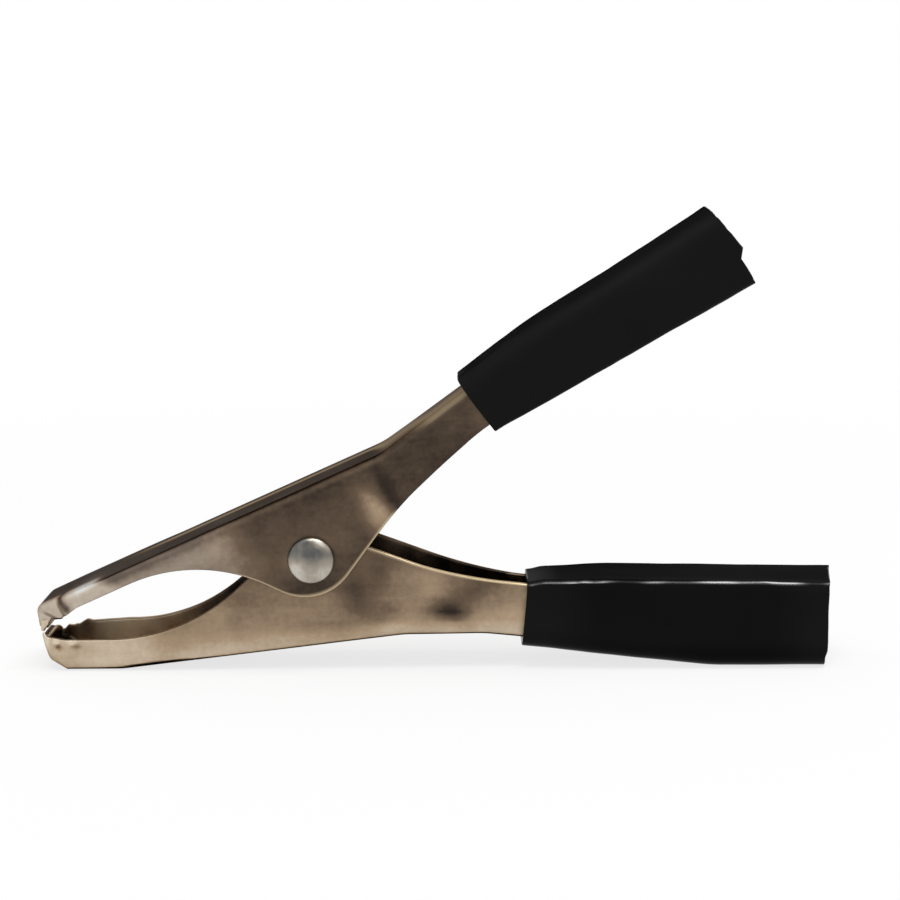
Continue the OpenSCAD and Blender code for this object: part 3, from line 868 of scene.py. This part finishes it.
def make_upper_sleeve():
    us = spans(UPPER_MOUTH, UPPER_SLEEVE_END, SLEEVE_STEP, SLEEVE_FINE)
    slack = rounded([
        (UPPER_MOUTH, MOUTH_SLACK, 0), (UPPER_MOUTH + 11, MOUTH_SLACK + UPPER_BULGE, 60),
        (UPPER_SLEEVE_END, 0, 0)])
    return make_sleeve(
        "upper_grip_sleeve", [upper_section(u) for u in us], [at(u, slack) for u in us],
        [0 for _ in us], [0 for _ in us],
        end_slants(us, UPPER_SLEEVE_END, UPPER_SLANT), TILT, upper_sleeve_shift, UPPER_SHOULDER)


# Materials

def material(name, **sockets):
    made = bpy.data.materials.new(name)
    made.use_nodes = True
    shader = made.node_tree.nodes["Principled BSDF"]
    for key, value in sockets.items():
        shader.inputs[key.replace("_", " ")].default_value = value
    return made, made.node_tree, shader


def node(tree, kind, inputs=(), **settings):
    made = tree.nodes.new(kind)
    for key, value in settings.items():
        setattr(made, key, value)
    for key, value in dict(inputs).items():
        if isinstance(value, bpy.types.NodeSocket):
            tree.links.new(value, made.inputs[key])
        else:
            made.inputs[key].default_value = value
    return made


def grain(tree, scale, stretch=(1, 1, 1), detail=4):
    """Noise in the piece's own coordinates, with its features stretched."""
    place = node(tree, "ShaderNodeTexCoord").outputs["Object"]
    mapped = node(tree, "ShaderNodeMapping", {"Vector": place, "Scale": stretch}).outputs["Vector"]
    return node(tree, "ShaderNodeTexNoise", {
        "Vector": mapped, "Scale": scale, "Detail": detail, "Roughness": 0.55}).outputs["Fac"]


def maths(tree, operation, a, b, c=0.0):
    return node(tree, "ShaderNodeMath", {0: a, 1: b, 2: c}, operation=operation).outputs[0]


def varied(tree, value, patterns):
    """value with (pattern, strength) pairs added, each round the pattern's middle."""
    for pattern, strength in patterns:
        value = maths(tree, "MULTIPLY_ADD", maths(tree, "SUBTRACT", pattern, 0.5), strength, value)
    return value


def ramp(tree, factor, stops):
    made = node(tree, "ShaderNodeValToRGB", {"Fac": factor})
    band = made.color_ramp
    while len(band.elements) < len(stops):
        band.elements.new(0.5)
    for element, (place, colour) in zip(band.elements, stops):
        element.position = place
        element.color = (*colour, 1)
    return made.outputs["Color"]


def spread(tree, value, low, high):
    """value from 0 to 1 as low to high."""
    made = node(tree, "ShaderNodeMapRange", {"Value": value, "To Min": low, "To Max": high})
    return made.outputs["Result"]


def bump(tree, shader, heights):
    """Chains (height, distance in millimetres) pairs into one bumped normal."""
    normal = None
    for height, distance in heights:
        inputs = {"Height": height, "Distance": distance * MM, "Strength": 1.0}
        if normal:
            inputs["Normal"] = normal
        normal = node(tree, "ShaderNodeBump", inputs).outputs["Normal"]
    tree.links.new(normal, shader.inputs["Normal"])


def attribute(tree, name):
    return node(tree, "ShaderNodeAttribute", attribute_name=name).outputs["Fac"]


def mixed(tree, share, a, b):
    return node(tree, "ShaderNodeMix", {0: share, 6: a, 7: b}, data_type="RGBA").outputs[2]


def plated_sheet():
    """Old nickel plate: warm grey, rolled along its length, with tarnish, and with painted shade, painted
    reflections and painted golden highlights that its attributes carry.
    """
    made, tree, shader = material("plated_sheet", Metallic=1.0)
    cloud = grain(tree, 160, detail=5)
    speck = grain(tree, 1500, detail=2)
    rolled = grain(tree, 700, (0.12, 1, 1), detail=3)
    # The tone attribute carries painted shade and painted reflections as well as the plate's own tone
    tone_and_light = varied(tree, attribute(tree, "tone_and_light"), ((cloud, 0.3), (rolled, 0.14), (speck, 0.12)))
    warm = ramp(tree, tone_and_light, [
        (0.0, (0.006, 0.005, 0.004)), (0.25, (0.046, 0.034, 0.026)), (0.5, (0.16, 0.112, 0.075)),
        (0.75, (0.41, 0.3, 0.197)), (1.0, (0.7, 0.6, 0.47))])
    cool_reflection = ramp(tree, tone_and_light, [
        (0.0, (0.01, 0.01, 0.012)), (0.5, (0.14, 0.14, 0.15)), (1.0, (0.74, 0.78, 0.8))])
    # Painted bluish reflections and highlight, most near the nose
    base = mixed(tree, attribute(tree, "cool_reflection"), warm, cool_reflection)
    # Painted golden highlights and reflections along the bends and edges
    base = mixed(tree, attribute(tree, "golden_highlight"), base, (0.7, 0.56, 0.36, 1))
    tree.links.new(base, shader.inputs["Base Color"])
    rough = spread(tree, maths(tree, "ADD", cloud, maths(tree, "MULTIPLY", speck, 0.4)), 0.24, 0.46)
    tree.links.new(rough, shader.inputs["Roughness"])
    shader.inputs["Specular Tint"].default_value = (0.35, 0.3, 0.26, 1)
    bump(tree, shader, [(rolled, 0.004), (speck, 0.004), (cloud, 0.02)])
    return made


def rivet_metal():
    made, tree, shader = material("rivet_metal", Metallic=1.0)
    cloud = grain(tree, 420, detail=5)
    scratch = grain(tree, 900, (1, 1, 0.15), detail=3)
    tone_and_light = varied(tree, attribute(tree, "tone_and_light"), ((cloud, 0.5), (scratch, 0.25)))
    base = ramp(tree, tone_and_light, [
        (0.1, (0.02, 0.021, 0.021)), (0.42, (0.12, 0.12, 0.115)), (0.72, (0.37, 0.33, 0.27)),
        (1.0, (0.76, 0.73, 0.68))])
    tree.links.new(base, shader.inputs["Base Color"])
    tree.links.new(spread(tree, cloud, 0.22, 0.5), shader.inputs["Roughness"])
    bump(tree, shader, [(scratch, 0.01), (cloud, 0.03)])
    return made


def spring_wire():
    made, tree, shader = material("spring_wire", Metallic=1.0)
    streak = grain(tree, 900, detail=3)
    cloud = grain(tree, 260, detail=4)
    base = ramp(tree, maths(tree, "MULTIPLY_ADD", streak, 0.4, maths(tree, "MULTIPLY", cloud, 0.6)), [
        (0.25, (0.16, 0.155, 0.15)), (0.55, (0.34, 0.335, 0.325)), (0.8, (0.52, 0.51, 0.49))])
    tree.links.new(base, shader.inputs["Base Color"])
    tree.links.new(spread(tree, streak, 0.18, 0.38), shader.inputs["Roughness"])
    bump(tree, shader, [(streak, 0.006)])
    return made


def screw_metal():
    made, tree, shader = material("screw_metal", Metallic=1.0)
    cloud = grain(tree, 700, detail=4)
    base = ramp(tree, cloud, [(0.3, (0.42, 0.43, 0.44)), (0.7, (0.68, 0.69, 0.7))])
    tree.links.new(base, shader.inputs["Base Color"])
    tree.links.new(spread(tree, cloud, 0.15, 0.35), shader.inputs["Roughness"])
    bump(tree, shader, [(cloud, 0.008)])
    return made


def vinyl(name, rough, ripple):
    """Black vinyl that is glossy where its attributes say so, with painted sheen in its base colour."""
    made, tree, shader = material(name)
    wave = grain(tree, 110, (0.5, 1, 1), detail=2)
    fine = grain(tree, 2000, detail=2)
    # The base colour carries painted sheen from its attribute
    base = maths(tree, "MULTIPLY", attribute(tree, "black_and_sheen"), spread(tree, wave, 0.6, 1.4))
    tree.links.new(base, shader.inputs["Base Color"])
    tree.links.new(attribute(tree, "gloss"), shader.inputs["Specular IOR Level"])
    tree.links.new(spread(tree, grain(tree, 300, detail=4), *rough), shader.inputs["Roughness"])
    bump(tree, shader, [(wave, ripple), (fine, 0.003)])
    return made


# Tones of the plated sheet, from 0 for black to 1 for bright plate: mostly painted shade, painted shadow
# and painted reflections, with a little random variation

def spots(x, z, marks):
    """The sum of soft round marks, each (x, z, half length, half height, turn, strength)."""
    p = Vector((x, 0, z))
    return sum(strong * bump_at(p, *place) for *place, strong in marks)


# Painted reflection and shade: the plate's tone changes with the height above the lower web, and below the
# upper one
LOWER_FALL = ((0.6, 0.84), (1.4, 0.8), (2.4, 0.71), (4, 0.62), (6, 0.58), (9, 0.51), (14, 0.42))
UPPER_FALL = ((0.4, 0.26), (1.4, 0.31), (2.4, 0.33), (4.4, 0.39), (6.4, 0.41), (8.4, 0.37), (11, 0.31))
FRONT_FALL = ((0.3, 0.38), (0.9, 0.52), (1.5, 0.62), (2.4, 0.66), (4.4, 0.58))

# Painted shade and light on the neck and the ear of the lower jaw, with the shade of its dents and the
# ear's shadow among lighter patches, and then at its bite, painted glints on small teeth with painted
# shade under them
LOWER_PAINTED_LIGHT = (
    (17.2, -7.0, 2.4, 1.0, -0.1, -0.5), (20.2, -4.5, 3.8, 1.2, 0.43, -0.18),
    (9.0, -7.3, 1.9, 0.6, 0.1, -0.3), (14.8, -3.6, 2.2, 2.6, 0, 0.12), (24.6, -7.4, 2.6, 1.6, 0, 0.06),
    (5.6, -4.8, 2.0, 3.4, 0.2, -0.24), (8.3, -1.8, 1.4, 1.8, 0, -0.14), (2.5, -8.8, 3.5, 1.4, 0, -0.12),
    (-12, -7.4, 2.5, 1.6, 0.6, 0.1),
    (-32.3, -10.6, 0.3, 0.25, 0, 0.5), (-32.0, -11.2, 0.45, 0.3, 0, -0.45),
    (-30.2, -10.6, 0.45, 0.25, 0, 0.5), (-29.7, -11.1, 0.6, 0.3, 0, -0.3))

# Painted shade and highlights on the nose of the upper jaw with the shade of its crease, at its kink, on
# its neck and round the rivet
UPPER_PAINTED_LIGHT = (
    (-30.8, 8.1, 1.5, 0.42, -1.34, -0.5), (-30.4, 6.8, 0.5, 0.5, 0, -0.3), (-27.5, 8.5, 2.0, 0.3, 0, 0.2),
    (10.2, 3.0, 2.8, 1.0, -1.1, 0.2), (10.2, 0.4, 1.6, 2.4, 0, 0.22), (9.1, 1.8, 1.1, 2.6, 0, 0.12),
    (12.2, 3.6, 0.8, 2.8, 0, -0.22), (26.4, 7.2, 1.4, 2.6, 0, 0.1), (7.4, -0.6, 1.3, 2.4, 0.4, -0.08),
    (-2.6, 0.6, 1.0, 1.4, 0, 0.16), (-3.4, -3.4, 1.0, 1.4, 0, -0.05))


def inside(p, n):
    """Whether a point lies on the inner side of a channel's flange."""
    return abs(p.y) > 2.5 and n.y * p.y < 0 and abs(n.y) > 0.4


def kept(value):
    return min(1, max(0.01, value))


def facing_up(n):
    """How far a normal points away from the rivet across the upper web, from -1 to 1."""
    return Vector((n.x, n.z)).dot(turned((0, 1), TILT))


def lower_tone(p, n):
    """The lip is painted bright outside, a painted highlight, and darkens with painted shade inside below
    its top edge. The channel's inside is light, with painted glints and painted shade towards its ends;
    the flanges have painted reflection and painted light marks, and the underside of the foot is painted
    black shade."""
    depth = p.z - at(p.x, lower_web_path)
    # Painted highlight at the lip's top, and painted shade below it
    if p.x < -32.2 and n.x > 0.35:
        edge_fall = 0.25 * ease(1.2, 3.4, p.y)
        return mix(1, 0.3, ease(-10.1, -10.5, p.z + edge_fall))
    # Painted highlight on the front of the lip
    if p.x < -33.2 and p.z > -11.3:
        return 1
    if inside(p, n) or n.z > 0.6 and depth < 2.5:
        # Painted glints inside, and painted shade towards the channel's ends
        patch = spots(p.x, p.z, ((-25.5, -11, 2.6, 2.4, 0, 0.28), (9.5, -0.4, 2, 0.8, 0, 0.2)))
        ends = 0.16 * ease(-27, -30, p.x) + 0.3 * ease(-31, -32.4, p.x) + 0.52 * ease(-19.5, -12, p.x)
        return kept(0.83 + patch + 0.2 * noise.noise(p * 0.45) - ends)
    # Painted reflection: lighter towards the foot and low on the flanges, with the painted light marks
    foot = ease(-16, -24, p.x)
    tone_and_light = mix(at(depth, LOWER_FALL), 0.86, foot) + spots(p.x, p.z, LOWER_PAINTED_LIGHT)
    # Painted shade: faces that point down are near black
    steep = 0.25 * bump_at(p, -20, -13.5, 5, 3)
    return kept(mix(tone_and_light, 0.01, ease(-0.72 + steep, -0.86 + steep, n.z)))


def upper_tone(p, n):
    """Painted reflections and shade: the nose is painted bright, with a painted highlight along its near
    web, and the flanges, the bend and the web, painted dark, differ before and on the arm; the far edge
    gets painted shade.
    """
    q = in_upper(p)
    across = facing_up(n)
    depth = at(q.x, upper_web_path) - q.y
    if inside(p, n) or across < -0.6 and depth < 2.5:
        return kept(0.4 + 0.2 * noise.noise(p * 0.45))
    # Painted reflection: the nose is bright, the arm's flanges and web are darker, the web is dark, and
    # the nose's near web has a painted highlight
    nose = ease(-22.4, -24.6, q.x + 1.3 * (q.y - 7))
    arm = ease(12.2, 13.4, q.x - 0.12 * (q.y - 5))
    front = ease(-3.5, -10, q.x)
    fall = mix(at(depth, UPPER_FALL), at(depth, FRONT_FALL), front)
    flange = mix(mix(fall, 0.83, nose), 0.3, arm)
    web = mix(0.1, 0.26, arm) + 0.7 * nose * ease(-1.6, -3.6, p.y)
    bend = mix(mix(mix(0.36, 0.5, front), 0.3, arm), 0.84, nose)
    top = mix(bend, web, ease(0.8, 0.98, across))
    # Painted shade along the far edge
    edge = ease(0.75, 0.4, across) if p.y > 0 else 0
    tone_and_light = mix(flange, top, ease(0.2, 0.75, across)) - 0.2 * edge * ease(0, 0.3, across)
    return kept(tone_and_light + spots(*q, UPPER_PAINTED_LIGHT) * ease(2, 0, p.y))


def upper_golden_highlight(p, n):
    """A painted golden reflection along the upper web, wider on the arm, and a painted golden highlight on
    the edge of the ear.
    """
    q = in_upper(p)
    arm = ease(11.5, 14.5, q.x)
    near = ease(17, 21, q.x)
    middle = mix(mix(2.5, 0.6, arm), -2.4, near)
    line = math.exp(-((p.y - middle) / mix(0.7, 3.6, arm)) ** 2) * mix(0.6, 0.34, arm)
    line *= ease(mix(0.8, 0.4, near), mix(0.95, 0.7, near), facing_up(n)) * ease(-25, -15, q.x)
    rim = abs(q.y - at(q.x, upper_edge_path))
    ear = ease(0.3, 0.1, rim) * ease(-10, -8, q.x) * ease(12.5, 11, q.x)
    return 0 if inside(p, n) else max(line, 0.9 * ear)


def lower_golden_highlight(p, n):
    """A painted golden highlight on the near edge of the lower neck, and a painted golden reflection
    inside.
    """
    if inside(p, n):
        return 0.35 * bump_at(p, -24.5, -11, 3, 3)
    rim = abs(p.z - at(p.x, lower_edge_path))
    return ease(0.26, 0.1, rim) * ease(4, 7, p.x) * (p.y < 0)


def upper_cool_reflection(p, n):
    """A painted bluish reflection over the front, and a painted bluish highlight near the nose."""
    q = in_upper(p)
    return max(0.25 * ease(-4, -14, q.x), 0.85 * bump_at(Vector((q.x, 0, q.y)), -27.4, 8.6, 2.6, 0.7))


# Places where the bright line along the lower sleeve's shoulder fades, as (x, half width, share)
GLOSS_GAPS = (
    (26.6, 1.2, 1), (30, 2.1, 0.7), (33.4, 0.45, 0.5), (35.4, 0.7, 0.6), (39.4, 3.3, 1), (46, 3.1, 0.9),
    (54.8, 2, 0.62), (63, 2.2, 1))
LAMP_LEAN = 46


def lower_gloss(p, n):
    """Most where the shoulder mirrors the long soft box, with gaps, and none on the flat top."""
    lean = math.degrees(math.atan2(n.z, -n.y))
    line = ease(10, 5, abs(lean - LAMP_LEAN))
    for x, wide, share in GLOSS_GAPS:
        line *= 1 - share * math.exp(-((p.x - x) / wide) ** 4)
    return mix(0.03 * ease(0.95, 0.85, n.z), 0.75, line)


def upper_gloss(p, n):
    return 0.05 * ease(0.8, 0.5, n.z)


def lower_black_and_sheen(p, n):
    """The share of light that the sleeve's black gives back, with painted sheen: more on its top, most at
    its mouth, a little more towards both ends, and darker towards the bottom.
    """
    top = ease(0.75, 0.97, n.z)
    mouth = 0.03 * ease(LOWER_MOUTH + 5, LOWER_MOUTH, p.x)
    ends = 0.003 * (ease(37, 28, p.x) + ease(57, 64, p.x))
    return mix(0.0042 + ends - 0.0016 * ease(-10.5, -12.5, p.z), 0.0105 + mouth, top)


def upper_dust(p, n):
    return 0.007


def rivet_tone(p, n):
    """A painted reflection, darker above, where the head mirrors the arm over it, with a painted highlight
    arc at its rim.
    """
    reach = math.hypot(p.x, p.z)
    # Painted highlight arc on the bevel
    arc = bump_at(p, 1.1, 2.3, 1.5, 0.4, -0.45) * ease(1.8, 2.3, reach)
    return kept(0.79 - 0.36 * ease(-1.2, 1.1, p.z) + 0.5 * arc)


# Build

lower_jaw = make_lower_jaw()
upper_jaw = make_upper_jaw()
claw = make_claw()
rivet = make_rivet()
spring, spring_half = make_spring()
collar = make_collar()
screw = make_screw()
lower_sleeve = make_lower_sleeve()
upper_sleeve = make_upper_sleeve()

tint_points(lower_jaw, "tone_and_light", lower_tone)
tint_points(lower_jaw, "golden_highlight", lower_golden_highlight)
tint_points(upper_jaw, "tone_and_light", upper_tone)
tint_points(upper_jaw, "golden_highlight", upper_golden_highlight)
tint_points(upper_jaw, "cool_reflection", upper_cool_reflection)
tint_points(rivet, "tone_and_light", rivet_tone)
tint_points(lower_sleeve, "gloss", lower_gloss)
tint_points(lower_sleeve, "black_and_sheen", lower_black_and_sheen)
tint_points(upper_sleeve, "gloss", upper_gloss)
tint_points(upper_sleeve, "black_and_sheen", upper_dust)
# The claw is painted bright, a painted highlight on its lit faces
tint_points(claw, "tone_and_light", lambda p, n: 0.95)
tint_points(collar, "tone_and_light", lambda p, n: 0.5)

sheet = plated_sheet()
for obj, made, slot_name, body in (
        (lower_jaw, sheet, "plated_sheet", "lower"), (upper_jaw, sheet, "plated_sheet", "upper"),
        (claw, sheet, "plated_sheet", "upper"), (collar, sheet, "plated_sheet", "lower"),
        (rivet, rivet_metal(), "rivet_metal", "lower"),
        (screw, screw_metal(), "screw_metal", "lower"),
        (lower_sleeve, vinyl("gloss_vinyl", rough=(0.12, 0.2), ripple=0.12), "gloss_vinyl", "lower"),
        (upper_sleeve, vinyl("matte_vinyl", rough=(0.42, 0.62), ripple=0.1), "matte_vinyl", "upper")):
    obj.data.materials.append(made)
    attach(obj, body)
spring.data.materials.append(spring_wire())
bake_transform(spring)

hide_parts("lower_jaw")
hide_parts("upper_jaw")
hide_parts("pivot_rivet")
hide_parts("torsion_spring")
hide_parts("cable_screw")
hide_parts("lower_sleeve")
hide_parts("upper_sleeve")


# Studio: a pale floor and backdrop, and a long soft box above

def seen(tree):
    """1 for the camera's rays, also by way of a mirror or clear glass, and 0 for light."""
    path = node(tree, "ShaderNodeLightPath")
    rays = maths(tree, "MAXIMUM", path.outputs["Is Camera Ray"], path.outputs["Is Glossy Ray"])
    return maths(tree, "MAXIMUM", rays, path.outputs["Is Transmission Ray"])


def floor():
    """A round floor that fades to the white of the backdrop."""
    reach = 2.2
    steps = 96
    verts = [Vector((0, 0, 0))]
    faces = []
    for k in range(steps):
        a = 2 * math.pi * k / steps
        verts.append(Vector((reach * math.cos(a), reach * math.sin(a), 0)))
        faces.append((0, k + 1, (k + 1) % steps + 1))
    obj = mesh_object("floor", verts, faces)
    made, tree, shader = material("floor", Roughness=0.9, Base_Color=(0.9, 0.9, 0.9, 1))
    place = node(tree, "ShaderNodeTexCoord").outputs["Object"]
    far = node(tree, "ShaderNodeVectorMath", {0: place}, operation="LENGTH").outputs["Value"]
    fade = node(tree, "ShaderNodeMapRange", {
        "Value": far, "From Min": 0.05, "From Max": 0.3, "To Min": 0.76, "To Max": 1.0},
        interpolation_type="SMOOTHSTEP").outputs["Result"]
    white = node(tree, "ShaderNodeEmission", {"Color": (1, 1, 1, 1), "Strength": 1.0}).outputs[0]
    both = node(tree, "ShaderNodeMixShader", {
        0: maths(tree, "MULTIPLY", seen(tree), fade), 1: shader.outputs[0], 2: white}).outputs[0]
    tree.links.new(both, tree.nodes["Material Output"].inputs["Surface"])
    obj.data.materials.append(made)


def backdrop():
    """The world: white where it is seen, dimmer where it lights."""
    world = bpy.data.worlds.new("studio")
    bpy.context.scene.world = world
    world.use_nodes = True
    tree = world.node_tree
    back = tree.nodes["Background"]
    back.inputs["Color"].default_value = (1, 1, 1, 1)
    tree.links.new(spread(tree, seen(tree), 0.6, 1.0), back.inputs["Strength"])


def soft_box(name, place, target, size, radiance):
    """A rectangular lamp at a place in metres, aimed at a target, with a given radiance."""
    lamp = bpy.data.lights.new(name, "AREA")
    lamp.shape = "RECTANGLE"
    lamp.size, lamp.size_y = size
    lamp.energy = radiance * math.pi * size[0] * size[1]
    obj = bpy.data.objects.new(name, lamp)
    obj.location = place
    obj.rotation_euler = (Vector(target) - Vector(place)).to_track_quat("-Z", "Y").to_euler()
    bpy.context.scene.collection.objects.link(obj)


floor()
backdrop()
soft_box("top_box", place=(0.12, -0.13, 0.72), target=(0.02, 0, 0.02), size=(0.7, 0.12), radiance=12)


# Camera: about 250 mm in front of the clip, looking 9 degrees down, with a small roll

CAMERA_DROP = math.radians(9)
CAMERA_ROLL = math.radians(-0.32)
CAMERA_PLACE = Vector((17.33, -246.92, 51.83))
FOCAL_PIXELS = 1980
IMAGE_PIXELS = 900
SENSOR = 36

camera = bpy.data.cameras.new("camera")
camera.sensor_width = SENSOR
camera.lens = FOCAL_PIXELS * SENSOR / IMAGE_PIXELS
camera.clip_start = 0.01
view = bpy.data.objects.new("camera", camera)
turn = Matrix.Rotation(math.pi / 2 - CAMERA_DROP, 4, "X") @ Matrix.Rotation(CAMERA_ROLL, 4, "Z")
view.matrix_world = Matrix.Translation((PIVOT + CAMERA_PLACE) * MM) @ turn
bpy.context.scene.collection.objects.link(view)
bpy.context.scene.camera = view
bpy.context.scene.view_settings.view_transform = "Standard"
